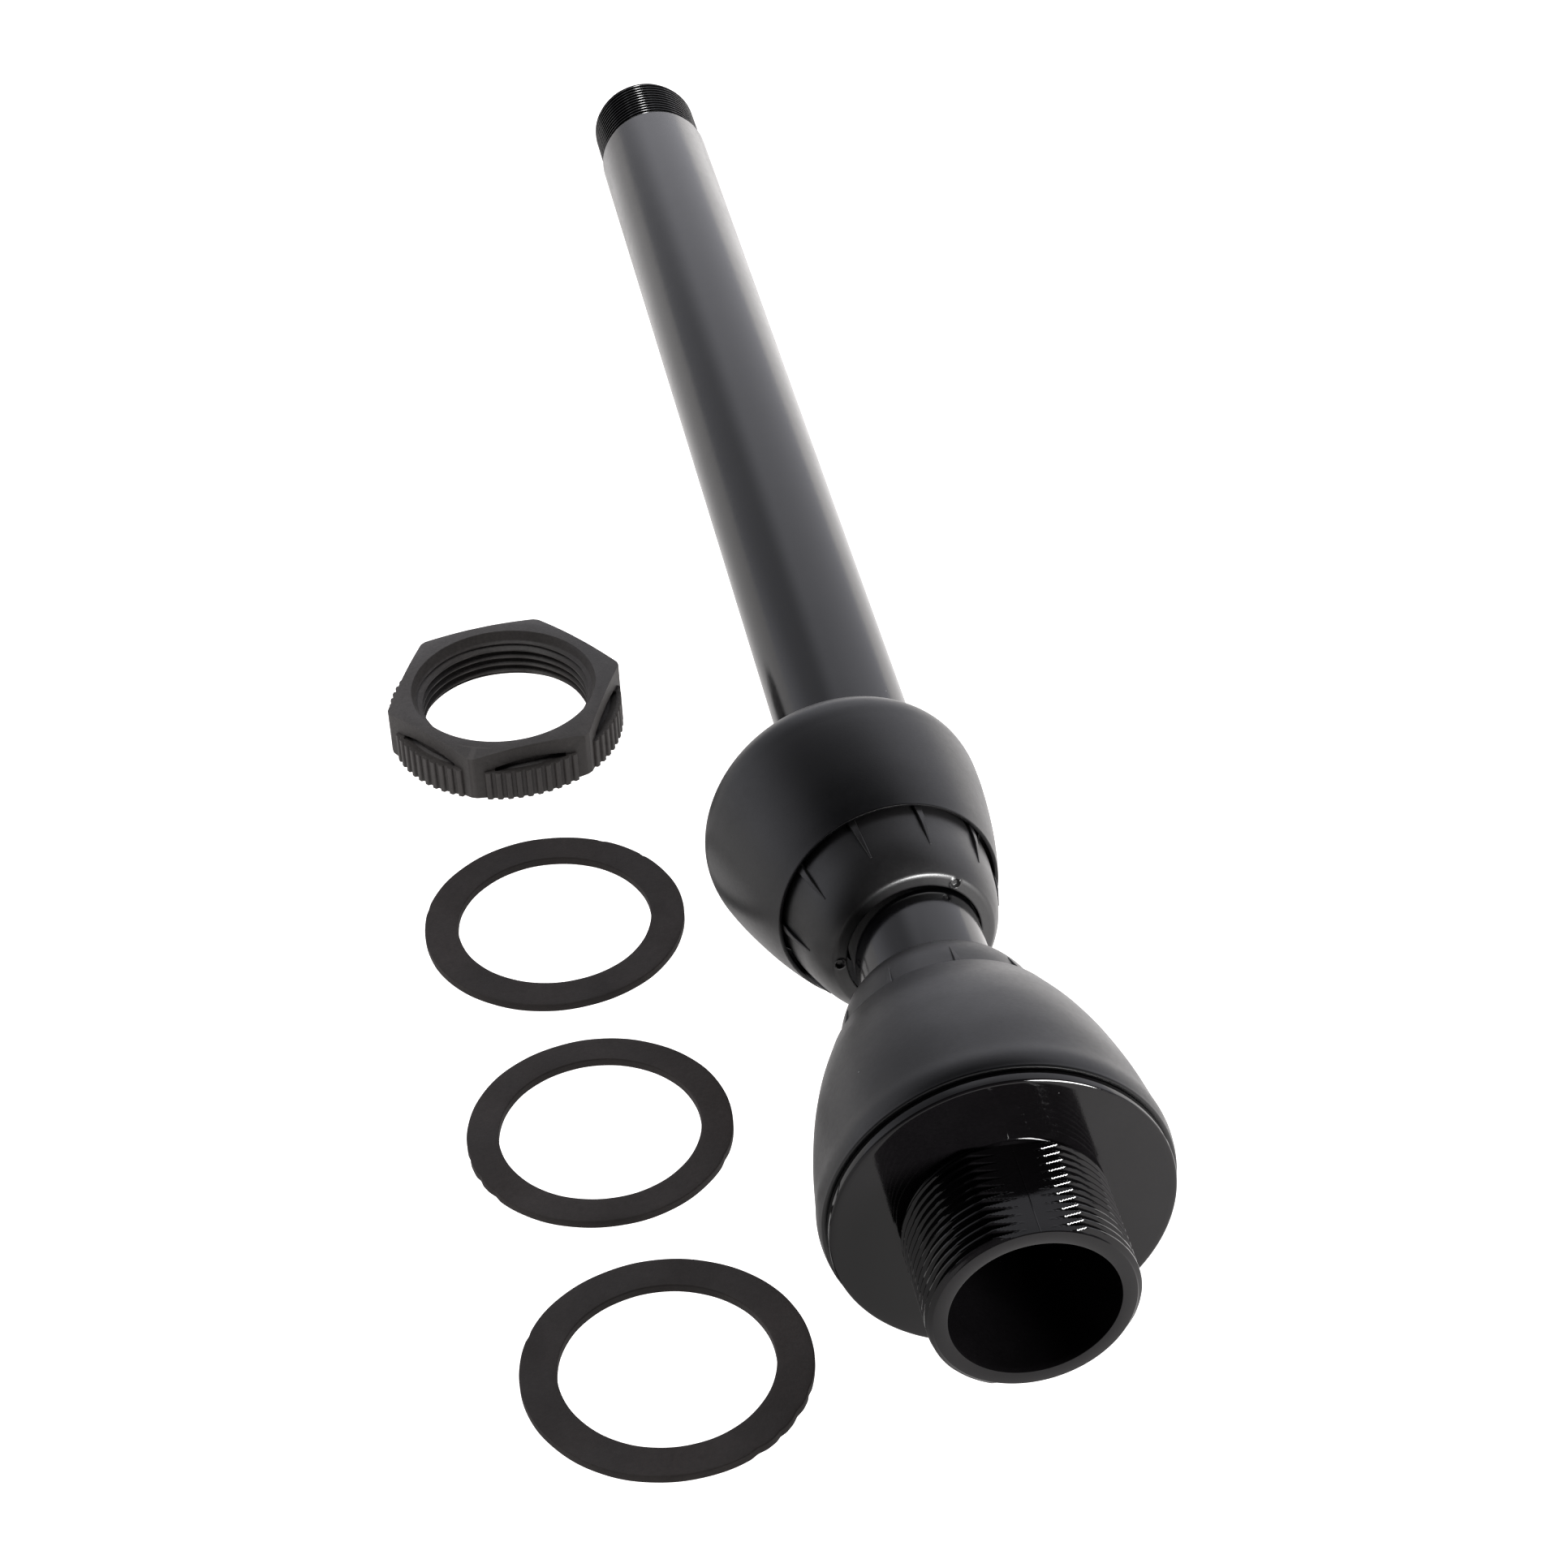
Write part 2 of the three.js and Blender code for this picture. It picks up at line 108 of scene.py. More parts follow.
def spline(points, count):
    """Smooth curve through the points, evenly spaced along its length."""
    knots = np.array(points, float)
    padded = np.vstack([2 * knots[0] - knots[1], knots, 2 * knots[-1] - knots[-2]])
    fine = []
    for i in range(len(knots) - 1):
        before, start, end, after = padded[i:i + 4]
        gap_in, gap, gap_out = (
            max(1e-6, np.linalg.norm(b - a)) ** 0.5
            for a, b in ((before, start), (start, end), (end, after)))
        slope_start = gap * ((start - before) / gap_in - (end - before) / (gap_in + gap)
                             + (end - start) / gap)
        slope_end = gap * ((end - start) / gap - (after - start) / (gap + gap_out)
                           + (after - end) / gap_out)
        for t in np.linspace(0, 1, 24, endpoint=False):
            fine.append((2 * t**3 - 3 * t**2 + 1) * start + (t**3 - 2 * t**2 + t) * slope_start
                        + (-2 * t**3 + 3 * t**2) * end + (t**3 - t**2) * slope_end)
    fine = np.array(fine + [knots[-1]])
    steps = np.linalg.norm(np.diff(fine, axis=0), axis=1)
    run = np.concatenate([[0], np.cumsum(steps)])
    at = np.linspace(0, run[-1], count)
    return np.stack([np.interp(at, run, fine[:, 0]), np.interp(at, run, fine[:, 1])], 1)


def offset(curve, amount):
    """The curve moved sideways by amount per point, to smaller radius if it runs along +Y."""
    tangent = np.gradient(curve, axis=0)
    tangent /= np.linalg.norm(tangent, axis=1)[:, None]
    normal = np.stack([-tangent[:, 1], tangent[:, 0]], 1)
    return curve + normal * amount[:, None]


def band(inner, outer, low, high):
    """Rectangular outline of a plain ring."""
    return [(inner, low), (outer, low), (outer, high), (inner, high)]


def ring_angles(count, zones):
    """Angles round a ring: count of them, plus finer (centre, half width, step) zones, degrees."""
    degrees = [360.0 * i / count for i in range(count)]
    for centre, half, step in zones:
        degrees = [a for a in degrees if abs((a - centre + 180) % 360 - 180) > half + step * 0.5]
        steps = int(round(2 * half / step))
        degrees += [(centre - half + step * i) % 360 for i in range(steps + 1)]
    return np.radians(np.array(sorted(set(round(a, 4) for a in degrees))))


# ------------------------------------------------------------------ solids: (vertices, faces)
def outward(verts, faces):
    """The closed solid with its faces turned outwards, judged by the sign of its volume."""
    volume = 0.0
    for size in {len(face) for face in faces}:
        group = np.array([face for face in faces if len(face) == size])
        for k in range(1, size - 1):
            cross = np.cross(verts[group[:, k]], verts[group[:, k + 1]])
            volume += float(np.einsum("ij,ij->", verts[group[:, 0]], cross))
    return (verts, faces) if volume > 0 else (verts, [list(face)[::-1] for face in faces])


def lathe(outline, angles, shape=None, caps=False):
    """Solid of revolution about +Y from (radius, y) points.

    angles is a count or an array. shape(radius, y, angle) may move the points one by one.
    With caps the outline is open and its two end rings are filled.
    """
    if isinstance(angles, int):
        angles = np.arange(angles) * TAU / angles
    outline = np.array(outline, float)
    rows, count = len(outline), len(angles)
    radius, y = np.repeat(outline[:, :1], count, 1), np.repeat(outline[:, 1:], count, 1)
    angle = np.repeat(angles[None, :], rows, 0)
    if shape is not None:
        radius, y = shape(radius, y, angle)
    verts = np.stack([radius * np.cos(angle), y, radius * np.sin(angle)], -1).reshape(-1, 3)
    i, j = np.arange(rows - 1 if caps else rows)[:, None], np.arange(count)[None, :]
    here, above, turn = i * count, ((i + 1) % rows) * count, (j + 1) % count
    corners = [here + j, above + j, above + turn, here + turn]
    faces = np.stack(corners, -1).reshape(-1, 4).tolist()
    if caps:
        faces.append(list(range(count)))
        faces.append(list(range((rows - 1) * count, rows * count))[::-1])
    return outward(verts, faces)


def prism(outline, z0, z1):
    """Upright prism from a flat outline, with its axis along +Z."""
    count = len(outline)
    flat = np.array(outline, float)
    verts = np.vstack([np.column_stack([flat, np.full(count, z)]) for z in (z0, z1)])
    faces = [[i, (i + 1) % count, count + (i + 1) % count, count + i] for i in range(count)]
    return outward(verts, faces + [list(range(count))[::-1], list(range(count, 2 * count))])


def loft(verts, first_cap):
    """Solid through equal rings of points. first_cap lists the first ring backwards."""
    side = len(first_cap)
    last = len(verts) - side
    faces = []
    for low in range(0, last, side):
        for j in range(side):
            turn = (j + 1) % side
            faces.append([low + j, low + turn, low + side + turn, low + side + j])
    return outward(np.array(verts), faces + [first_cap, [last + j for j in range(side)]])


# ------------------------------------------------------------------ threads
THREAD = 999.0      # radius that marks an outline point as lying on a thread


def marks(low, high, step):
    return [(THREAD, y) for y in np.arange(low, high, step)]


def threaded(radius_at):
    """Shape for lathe that gives the marked points the radius radius_at(y, angle)."""
    return lambda r, y, angle: (np.where(r == THREAD, radius_at(y, angle), r), y)


def thread_rise(y, angle, pitch, low, high):
    """0 at the small radius of a thread, 1 at the large one; low and high are in pitches."""
    turns = (y + pitch * (angle / TAU)) / pitch
    return np.clip((np.abs(turns - np.round(turns)) - low) / (high - low), 0, 1)


# ------------------------------------------------------------------ scene objects
def raw_mesh(name, part, place):
    rotation, origin = place
    verts = np.asarray(part[0]) @ rotation.T + origin
    mesh = bpy.data.meshes.new(name)
    mesh.from_pydata(((verts + SHIFT) / 1000).tolist(), [], part[1])
    mesh.validate()
    obj = bpy.data.objects.new(name, mesh)
    bpy.context.scene.collection.objects.link(obj)
    return obj


def cut(obj, tools, operation):
    """Joins or cuts closed solids, then keeps the result as the object's own mesh."""
    def evaluated():
        graph = bpy.context.evaluated_depsgraph_get()
        return bpy.data.meshes.new_from_object(obj.evaluated_get(graph))

    for tool in tools:
        modifier = obj.modifiers.new("boolean", "BOOLEAN")
        modifier.operation, modifier.object = operation, tool
        try:
            modifier.solver = "MANIFOLD"
        except TypeError:       # guards a Blender build without the manifold solver
            modifier.solver = "EXACT"
    mesh = evaluated()
    if len(mesh.vertices) < 50:     # the manifold solver gave up
        for modifier in obj.modifiers:
            modifier.solver = "EXACT"
        mesh = evaluated()
    obj.modifiers.clear()
    obj.data = mesh
    mesh.name = obj.name
    for tool in tools:
        bpy.data.objects.remove(tool)


def piece(obj, body, finish, replaced, sharp=32):
    slot, material = finish
    mesh = obj.data
    mesh.materials.clear()
    mesh.materials.append(material)
    mesh.shade_smooth()
    mesh.set_sharp_from_angle(angle=math.radians(sharp))
    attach(obj, body)
    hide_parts(replaced)


def make(name, part, place, body, finish, replaced, sharp=32):
    piece(raw_mesh(name, part, place), body, finish, replaced, sharp)


def turned(name, outline, place, body, finish, replaced, radius=0.25, count=160):
    """Plain turned piece with its edges broken."""
    make(name, lathe(fillet(outline, radius, 4), count), place, body, finish, replaced)


# ------------------------------------------------------------------ shader nodes
class Nodes:
    """The emptied node tree of a material or world, with short ways to add nodes."""

    def __init__(self, owner):
        owner.use_nodes = True
        self.tree = owner.node_tree
        self.tree.nodes.clear()

    def new(self, kind, inputs, **settings):
        """Adds a node. Each input is given a value or linked from a socket."""
        node = self.tree.nodes.new("ShaderNode" + kind)
        for key, value in settings.items():
            setattr(node, key, value)
        for key, value in inputs.items():
            if isinstance(value, bpy.types.NodeSocket):
                self.tree.links.new(value, node.inputs[key])
            else:
                node.inputs[key].default_value = value
        return node

    def math(self, operation, *terms, clamp=False):
        node = self.new("Math", dict(enumerate(terms)), operation=operation, use_clamp=clamp)
        return node.outputs[0]

    def span(self, value, source, target, easing="LINEAR"):
        """Maps the source range to the target range."""
        inputs = {"Value": value, "From Min": source[0], "From Max": source[1],
                  "To Min": target[0], "To Max": target[1]}
        return self.new("MapRange", inputs, interpolation_type=easing).outputs[0]

    def blend(self, factor, first, second):
        node = self.new("Mix", {}, data_type="RGBA")
        for index, value in ((0, factor), (6, first), (7, second)):
            if isinstance(value, tuple):
                node.inputs[index].default_value = value
            else:
                self.tree.links.new(value, node.inputs[index])
        return node.outputs[2]


# ------------------------------------------------------------------ finishes
def plastic(slot, name, *, base, rough, smudge, grain, grain_scale=2600.0, wave=0.0,
            speck=0.0, specular=0.5, painted_edge_highlight=0.0):
    """Moulded plastic or rubber, returned as a finish: (slot, material).

    smudge adds roughness in patches, grain and wave are fine and broad bumps, speck is the
    share of cells with a dust spot, painted_edge_highlight is a painted highlight that lightens
    the sharp convex edges and makes them a little rougher.
    """
    material = bpy.data.materials.new(name)
    nodes = Nodes(material)
    coords = nodes.new("TexCoord", {}).outputs["Object"]

    def noise(scale, detail, roughness=0.55):
        inputs = {"Scale": scale, "Detail": detail, "Roughness": roughness, "Vector": coords}
        return nodes.new("TexNoise", inputs).outputs["Fac"]

    def shade(factor, lift=0.0):
        return (*(min(1.0, c * factor + lift) for c in base), 1.0)

    # Colour clouds, then darker grain.
    clouds = nodes.span(noise(scale=38.0, detail=5.0), (0.38, 0.68), (0.0, 1.0))
    colour = nodes.blend(clouds, shade(1.0), shade(1.7))
    grains = nodes.span(noise(scale=grain_scale * 0.5, detail=2.0), (0.35, 0.7), (0.0, 0.35))
    colour = nodes.blend(grains, colour, shade(0.55))
    # Smudged roughness with a fine flicker.
    smudges = noise(scale=45.0, detail=5.0, roughness=0.62)
    roughness = nodes.span(smudges, (0.42, 0.72), (rough, rough + smudge))
    flicker = nodes.span(noise(scale=grain_scale * 0.3, detail=2.0), (0.3, 0.7), (-0.02, 0.02))
    roughness = nodes.math("ADD", roughness, flicker)
    # Painted highlight: the sharp convex edges are made lighter, as if catching the light, and a
    # little rougher.
    if painted_edge_highlight > 0:
        pointiness = nodes.new("NewGeometry", {}).outputs["Pointiness"]
        edge = nodes.span(pointiness, (0.53, 0.60), (0.0, painted_edge_highlight))
        colour = nodes.blend(edge, colour, shade(2.6, lift=0.02))
        roughness = nodes.math("ADD", roughness, nodes.math("MULTIPLY", edge, 0.15))
    if speck > 0:
        # A small spot at the centre of a few randomly chosen cells.
        cells = nodes.new("TexVoronoi", {"Scale": 260.0, "Vector": coords})
        pick = nodes.new("SeparateColor", {0: cells.outputs["Color"]}).outputs[0]
        spot = nodes.span(cells.outputs["Distance"], (0.035, 0.055), (1.0, 0.0))
        dust = nodes.math("MULTIPLY", spot, nodes.math("GREATER_THAN", pick, 1.0 - speck))
        colour = nodes.blend(dust, colour, (0.42, 0.42, 0.42, 1.0))
        dust_rough = nodes.math("MULTIPLY", dust, 0.5)
        roughness = nodes.math("ADD", roughness, dust_rough, clamp=True)

    bump = {"Strength": grain, "Distance": 0.0002, "Height": noise(grain_scale, detail=3.0)}
    if wave > 0:
        broad = {"Strength": wave, "Distance": 0.002, "Height": noise(scale=60.0, detail=2.0)}
        bump["Normal"] = nodes.new("Bump", broad).outputs[0]
    surface = nodes.new("BsdfPrincipled", {
        "Base Color": colour, "Roughness": roughness, "Specular IOR Level": specular,
        "Normal": nodes.new("Bump", bump).outputs[0]})
    nodes.new("OutputMaterial", {0: surface.outputs[0]})
    return slot, material


STUB_GLOSS = plastic("gloss_black", "stub_gloss", base=(0.0020, 0.0018, 0.0020), rough=0.06,
                     grain=0.02, smudge=0.12, speck=0.03, wave=0.02, specular=0.26)
TUBE_GLOSS = plastic("gloss_black", "tube_gloss", base=(0.0045, 0.0045, 0.0052), rough=0.17,
                     grain=0.04, smudge=0.05, speck=0.003, wave=0.02)
PIPE_GLOSS = plastic("gloss_black", "pipe_gloss", base=(0.004, 0.004, 0.0047), rough=0.13,
                     grain=0.03, smudge=0.05, speck=0.004)
TIP_GLOSS = plastic("gloss_black", "tip_gloss", base=(0.0014, 0.0013, 0.0014), rough=0.15,
                    grain=0.01, smudge=0.02, specular=0.24)
BELL_SATIN = plastic("satin_black", "bell_satin", base=(0.0040, 0.0039, 0.0046), rough=0.36,
                     grain=0.08, grain_scale=3200.0, smudge=0.08, speck=0.010, wave=0.015)
CONE_SATIN = plastic("satin_black", "cone_satin", base=(0.0062, 0.0060, 0.0062), rough=0.36,
                     grain=0.06, grain_scale=3000.0, smudge=0.10, speck=0.010)
SEAT_GREY = plastic("seat_plastic", "seat_plastic_white_grey", base=(0.030, 0.029, 0.028),
                    rough=0.32, grain=0.05, smudge=0.08)
SEAL = plastic("seal_rubber", "seal_rubber", base=(0.010, 0.010, 0.010), rough=0.62,
               grain=0.25, grain_scale=1800.0, smudge=0.12)
# The nut and washer finishes below carry a painted highlight on their sharp edges.
CHARCOAL = plastic("charcoal_nut", "nut_charcoal", base=(0.044, 0.040, 0.038), rough=0.50,
                   grain=0.35, grain_scale=2400.0, smudge=0.10, speck=0.004, painted_edge_highlight=0.35,
                   specular=0.45)
WASHER_RUBBER = plastic("washer_rubber", "washer_rubber", base=(0.0180, 0.0138, 0.0128),
                        rough=0.66, grain=0.30, grain_scale=1900.0, smudge=0.12, speck=0.006,
                        painted_edge_highlight=0.30, specular=0.4)

# ------------------------------------------------------------------ threaded stub and flange
CREST, ROOT, PITCH = 20.95, 19.6, 2.08      # stub thread radii and pitch
END_R, BORE, LENGTH = 20.05, 16.9, 25.8     # radius at the free end, bore radius, stub length
GROOVE_Y = -3.05                            # where a groove crosses the flat
FLAT = 19.17                                # distance of the two flats from the axis
FLAT_DEG = 86.4                             # angle of the first flat; the other is opposite


def stub_radius(y, angle):
    first = math.radians(FLAT_DEG)
    rise = thread_rise(y - GROOVE_Y, wrap(angle - first), PITCH, 0.07, 0.40)
    radius = ROOT + (CREST - ROOT) * rise
    radius = np.minimum(radius, END_R + (y + LENGTH) * 1.15)
    run_out = ROOT + 0.05 + np.clip(-1.0 - y, 0, 1) * 2.4
    radius = np.where(y > -1.55, np.minimum(radius, run_out), radius)
    for centre in (first, first + math.pi):
        away = wrap(angle - centre)
        cosine = np.cos(away)
        across = np.tan(np.clip(away, -1, 1)) * FLAT
        ridge = 0.05 * np.clip(1 - np.abs(across) / 0.14, 0, 1)     # fine line down the flat
        flat = np.where(cosine > 0.3, FLAT / np.maximum(cosine, 0.3) + ridge, 1e3)
        soft = 0.30                 # the thread runs out into the flat with a small round
        mix = np.clip(0.5 + 0.5 * (radius - flat) / soft, 0, 1)
        radius = (radius * (1 - mix) + np.minimum(flat, 40) * mix
                  - soft * mix * (1 - mix) * 0.5)
    return radius


# (radius, y): free end, thread, flange face, flange edge and step, collar, bore
stub_outline = [
    (BORE, -LENGTH + 0.22), (BORE + 0.06, -LENGTH + 0.07), (BORE + 0.22, -LENGTH),
    (END_R - 0.55, -LENGTH), (END_R - 0.22, -LENGTH + 0.06), (END_R - 0.04, -LENGTH + 0.22),
    *marks(-LENGTH + 0.4, -0.72, PITCH / 18),
    (19.6, -0.42), (19.65, -0.26), (19.76, -0.13), (19.92, -0.04), (20.1, 0.0), (22.0, 0.0),
    (25.0, 0.0), (29.5, 0.0), (33.0, 0.0), (33.95, 0.0), (34.2, 0.05), (34.42, 0.2),
    (34.54, 0.45), (34.55, 0.8), (34.55, 2.55), (34.47, 2.8), (34.25, 2.9), (33.55, 2.9),
    (33.5, 3.0), (33.5, 7.2), (33.2, 7.6), (31.9, 7.6), (31.6, 7.3), (31.6, 4.2), (31.4, 4.0),
    (20.6, 4.0), (19.4, 4.9), (19.0, 6.3), (19.0, 40.6), (18.6, 41.0), (17.3, 41.0),
    (BORE, 40.6), *((BORE, y) for y in np.linspace(36, -24, 11))]
# Finer over the flats, and finest at the line down their middles.
stub_angles = ring_angles(300, [(FLAT_DEG + turn, half, step)
                                for half, step in ((28.8, 0.3), (0.9, 0.1))
                                for turn in (0, 180)])
make("stub_and_flange", lathe(stub_outline, stub_angles, threaded(stub_radius)), BASE, "base",
     STUB_GLOSS, "threaded_stub_flange", 24)

# ------------------------------------------------------------------ bell walls
WALL, RIM_WALL = 1.8, 0.85      # thickness of both bells, and at their wide or narrow lower ends


def thin_end(wall, curve, end, edge, length):
    """Thins the wall to edge over the given length before curve[end]."""
    run = np.linalg.norm(curve - curve[end], axis=1)
    return np.where(run < length, edge + (WALL - edge) * run / length, wall)


# ------------------------------------------------------------------ lower bell
# (radius, y) of the outside, from the rim at the flange
LOWER_BELL = [(35.4, 3.7), (35.64, 5.0), (35.72, 7.0), (35.2, 10.5), (33.8, 20.0),
              (31.7, 29.5), (30.2, 34.6), (28.4, 39.7), (25.1, 47.2)]
RIM_ROUND = 0.5


def lower_bell():
    outer = spline(LOWER_BELL, 90)
    inner = offset(outer, thin_end(np.full(len(outer), WALL), outer, -1, RIM_WALL, 4))
    radius, y = LOWER_BELL[0]
    rim_y = y - RIM_ROUND
    inner = inner[inner[:, 1] > rim_y]
    rim = [(radius - RIM_ROUND + RIM_ROUND * math.sin(q), y - RIM_ROUND * math.cos(q))
           for q in np.linspace(0, math.pi / 2, 9)[:-1]]
    outline = np.vstack([rim, outer, inner[::-1], [(34.0, rim_y)]])
    radii = np.zeros(len(outline))
    top = len(rim) + len(outer)
    radii[[top - 1, top]] = 0.3
    radii[-1] = 0.2
    make("lower_bell_cover", lathe(fillet(outline, radii), 256), BASE, "base", BELL_SATIN,
         "lower_bell_shell")


lower_bell()

# ------------------------------------------------------------------ ribbed cones in the bells
# Along a cone, s runs from its wide end to its flat face.
# (radius, s) of the cone's side beyond its first point, which differs between the two
CONE_SIDE = [(23.25, 20.0), (23.15, 22.6), (22.35, 27.0), (21.3, 31.8), (20.3, 34.8),
             (19.2, 37.0), (18.25, 38.3)]
# (s, crest radius, half width) along a rib
RIB_ROWS = [(16.0, 23.88, 0.86), (22.0, 23.88, 0.86), (24.6, 23.60, 0.68),
            (27.2, 23.05, 0.50), (30.0, 22.12, 0.32), (32.4, 21.30, 0.16)]
RIBS = 10
UPPER_S0 = 39.0      # y of s = 0 for the upper cone, in the upper bell's place


def cone_outline(lip, first):
    """(radius, s) outline. lip is the radius of the hole, first the s of the wide end."""
    side = spline([(22.9, first)] + CONE_SIDE, 52)
    under = spline([(21.2, first), (21.2, 22.0), (20.7, 27.0), (19.7, 31.4), (18.5, 34.2),
                    (17.0, 36.6)], 24)
    crest = [(18.08, 38.5), (17.88, 38.66), (17.66, 38.78), (17.38, 38.87), (17.05, 38.93)]
    face = [(r, 38.93 + 0.07 * (17.05 - r) / 2.1) for r in np.arange(16.9, lip + 0.35, -0.17)]
    edge = [(lip + 0.25, 38.98), (lip + 0.08, 38.9), (lip, 38.72), (lip, 37.9),
            (lip + 0.1, 37.55)]
    return [*side, *crest, *face, *edge, *under[::-1]]


def cone_insert(name, place, origin, sign, lip, first, phase, dimples, body, replaced):
    """Cone with ribs outside and dimples (degrees) in its flat face; y = sign * s + origin."""
    def at(s):
        return sign * s + origin

    def dent(r, y, angle):
        s = (y - origin) * sign
        face = (s > 37.6) & (r < 18.4) & (r > lip + 0.1)
        move = np.zeros_like(r)
        for degrees in dimples:
            away = np.hypot(wrap(angle - math.radians(degrees)) * 16.5, r - 16.5)
            # flat bottom, sloped side, raised lip
            move += np.interp(away, [0.62, 1.12, 1.5], [-0.55, 0.17, 0.0])
        return r, y + np.where(face, move, 0) * sign

    def rib(phi):
        verts = []
        for s, crest, half in RIB_ROWS:
            low = min(21.9, float(np.interp(s, skin[:, 1], skin[:, 0])) - 0.75)
            top = half - 0.1 if half > 0.2 else half * 0.5
            for r, w in ((low, half + 0.1), (crest - 0.12, half), (crest, top),
                         (crest, -top), (crest - 0.12, -half), (low, -half - 0.1)):
                verts.append((r * math.cos(phi) - w * math.sin(phi), at(s),
                              r * math.sin(phi) + w * math.cos(phi)))
        return loft(verts, [0, 5, 4, 3, 2, 1])

    skin = np.array([(22.9, first)] + CONE_SIDE)
    outline = [(r, at(s)) for r, s in cone_outline(lip, first)]
    angles = ring_angles(220, [(degrees, 6.6, 0.55) for degrees in dimples])
    cone = raw_mesh(name, lathe(outline, angles, dent), place)
    ribs = [raw_mesh(f"{name}_rib{i}", rib(math.radians(phase) + i * TAU / RIBS), place)
            for i in range(RIBS)]
    cut(cone, ribs, "UNION")
    piece(cone, body, CONE_SATIN, replaced, 28)


cone_insert("lower_ribbed_cone", BASE, origin=23.4, sign=1, lip=15.7, first=14.6, phase=12.6,
            dimples=(30, 150, 270), body="base", replaced="lower_cone_insert")
cone_insert("upper_ribbed_cone", BELL, origin=UPPER_S0, sign=-1, lip=14.95, first=4.2,
            phase=0.0, dimples=(55, 180.5, 300), body="upper_bell",
            replaced="upper_cone_insert")

# ------------------------------------------------------------------ upper bell
# (radius, s) of the outside, from the far end back towards the joint
UPPER_BELL = [(24.9, -19.6), (26.2, -18.1), (28.3, -15.4), (30.2, -12.6), (31.2, -10.2),
              (31.45, -7.6), (31.1, -4.0), (30.4, 0.5), (29.3, 6.1), (27.9, 12.2),
              (26.2, 18.3), (24.8, 22.6)]


def upper_bell():
    outer = spline([(r, UPPER_S0 - s) for r, s in UPPER_BELL][::-1], 110)
    wall = thin_end(np.full(len(outer), WALL), outer, 0, RIM_WALL, 4)
    wall = thin_end(wall, outer, -1, 0.75, 5)
    inner = offset(outer, wall)
    inner[:, 0] = np.maximum(inner[:, 0], np.where(inner[:, 1] > 50, 24.2, 0))
    keep = [0]                  # drops points that bunch up where the wall turns in
    for k in range(1, len(inner)):
        if np.linalg.norm(inner[k] - inner[keep[-1]]) > 0.12:
            keep.append(k)
    inner = inner[keep]
    inner = inner[inner[:, 1] <= 58.55]
    outline = np.vstack([outer, inner[::-1]])
    radii = np.zeros(len(outline))
    radii[[0, len(outer) - 1, len(outer), -1]] = 0.3, 0.3, 0.25, 0.3
    make("upper_bell_cover", lathe(fillet(outline, radii), 256), BELL, "upper_bell",
         BELL_SATIN, "upper_bell_shell")


upper_bell()

# ------------------------------------------------------------------ rings, seals and ball joint
PIPE_R = 14.05                  # outside of the link pipe
BALL_R, BALL_HALF = 16.8, 6.2   # ball radius and half its length
SOCKET_R = 17.2                 # hollow of the seat, about the pivot

turned("lower_snap_ring", [(19.4, 34.0), (27.6, 34.0), (26.9, 36.8), (19.4, 36.8)], BASE,
       "base", BELL_SATIN, "lower_clip_ring")
turned("upper_snap_ring", [(21.9, 39.0), (21.9, 35.4), (27.3, 35.4), (28.0, 39.0)], BELL,
       "upper_bell", BELL_SATIN, "upper_clip_ring")
turned("face_seal", band(17.2, 19.0, 41.4, 44.5), BASE, "base", SEAL, "lower_face_seal", 0.6)
seat = [(15.1, 44.9), (19.9, 44.9), (19.9, 49.5)]
seat += [(math.sqrt(SOCKET_R**2 - (PIVOT[1] - y) ** 2), y) for y in np.linspace(49.5, 45.1, 14)]
make("ball_seat", lathe(seat, 160), SEAT, "seat", SEAT_GREY, "ball_seat_ring")
ball = [(math.sqrt(BALL_R**2 - y * y), y) for y in np.linspace(-BALL_HALF, BALL_HALF, 28)]
ball = [(14.35, -BALL_HALF), *ball, (14.35, BALL_HALF)]
make("pipe_ball", lathe(ball, 160), RISER, "riser", PIPE_GLOSS, "riser_ball")
turned("link_pipe", [(10.6, -9.2), (PIPE_R, -9.2), (PIPE_R, 76.2), (12.3, 76.2), (12.3, 107),
                     (10.6, 107)], RISER, "riser", PIPE_GLOSS, "inner_pipe", 0.5, 224)
turned("tube_gasket", band(12.45, 14.9, 76.3, 77.7), RISER, "riser", SEAL,
       "tube_end_gasket", 0.4)
for tag, ring_y in (("a", 92.0), ("b", 97.0)):
    ring = [(12.7 + 0.36 * math.cos(q), ring_y + 0.95 * math.sin(q))
            for q in np.arange(16) * TAU / 16]
    make(f"o_ring_{tag}", lathe(ring, 128), RISER, "riser", SEAL, f"annulus_o_ring_{tag}", 60)
turned("glide_collar", band(14.35, 16.2, 41.8, 44.4), RISER, "glide", SEAT_GREY,
       "glide_ring", 0.4)
turned("swivel_collar", band(14.35, 16.6, 44.8, 47.2), RISER, "turner", BELL_SATIN,
       "swivel_ring", 0.4)

# ------------------------------------------------------------------ long tube and threaded tip
TUBE_END = RISER_LEN - 21.5
TIP_PITCH = 1.65

tube = fillet(band(13.1, 15.1, 77.8, TUBE_END), [0.3, 0.5, 0.6, 0.1])
make("long_tube", lathe(tube, 256), RISER, "riser", TUBE_GLOSS, "riser_tube", 26)


def tip_radius(y, angle):
    radius = 13.65 + 0.85 * thread_rise(y - TUBE_END - 0.75, angle, TIP_PITCH, 0.10, 0.40)
    chamfer = 13.5 + (RISER_LEN - y) * 0.9
    radius = np.where(y > RISER_LEN - 1.2, np.minimum(radius, chamfer), radius)
    run_in = 13.7 + np.clip(y - TUBE_END - 0.35, 0, 1) * 1.2
    return np.where(y < TUBE_END + 0.9, np.minimum(radius, run_in), radius)


